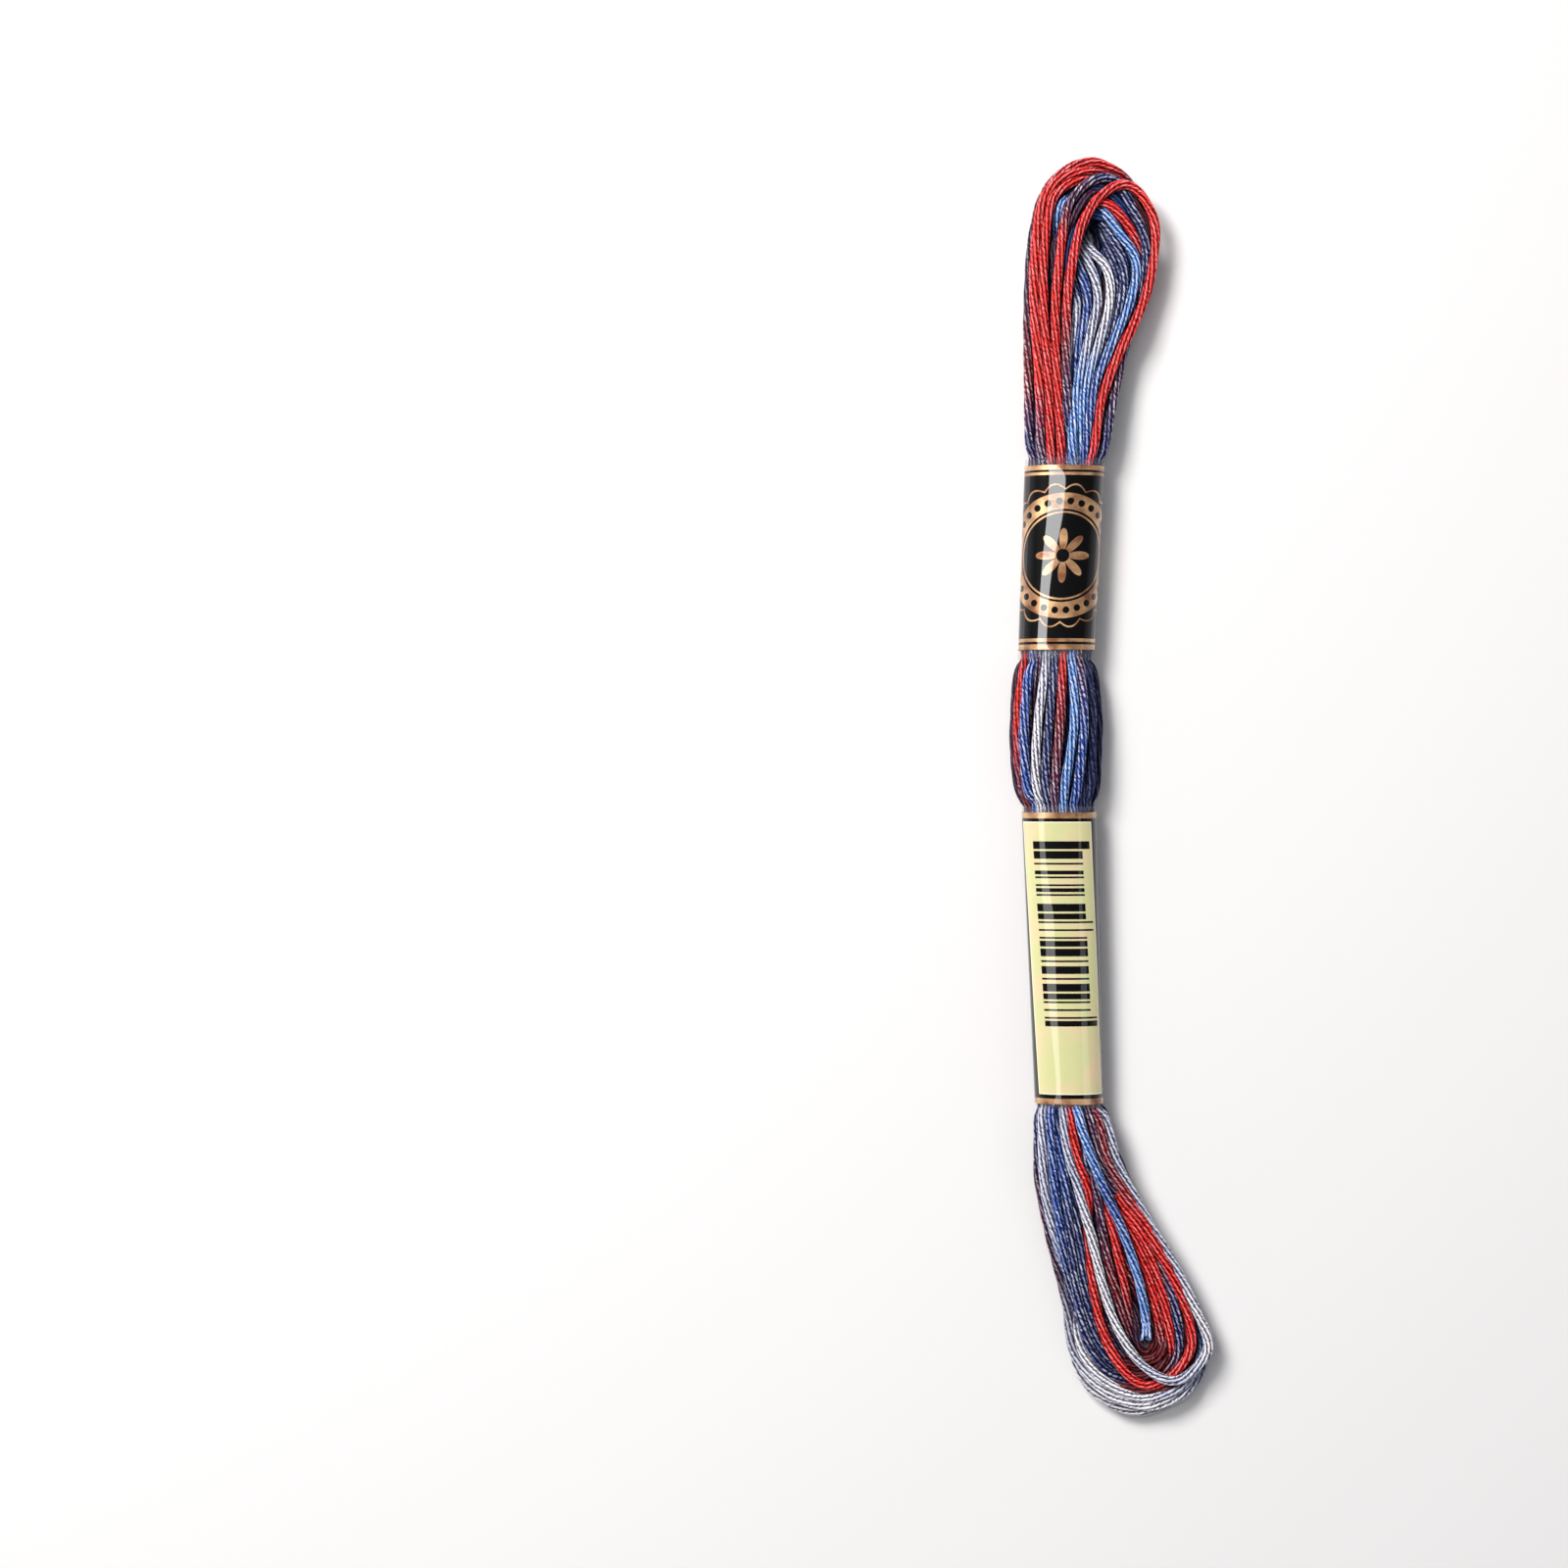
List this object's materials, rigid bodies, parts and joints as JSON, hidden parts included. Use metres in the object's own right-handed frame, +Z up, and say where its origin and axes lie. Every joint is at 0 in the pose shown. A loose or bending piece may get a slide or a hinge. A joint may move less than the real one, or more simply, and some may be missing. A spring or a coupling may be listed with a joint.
{
  "type": "skein of embroidery floss",
  "caption": "Long hank of variegated six-ply stranded cotton, lying flat with an open loop at each end, held by two thin printed sleeves, one cut end of the strand lying loose",
  "frame": {"origin": "on the surface that the skein lies on, under the middle of its bounding box", "axes": "+Y along the skein towards its upper loop, +X across it, +Z up from the surface"},
  "size_m": [0.027, 0.1709, 0.0072],
  "materials": {
    "floss": "mercerised cotton, soft sheen",
    "sleeve_dark": "glossy printed film, dark with metallic bands",
    "sleeve_pale": "glossy printed film, pale green with metallic bands"
  },
  "bodies": {
    "root": {"floss_hank": "floss", "sleeve_upper": "sleeve_dark", "sleeve_lower": "sleeve_pale", "floss_loose_end": "floss"}
  },
  "joints": []
}
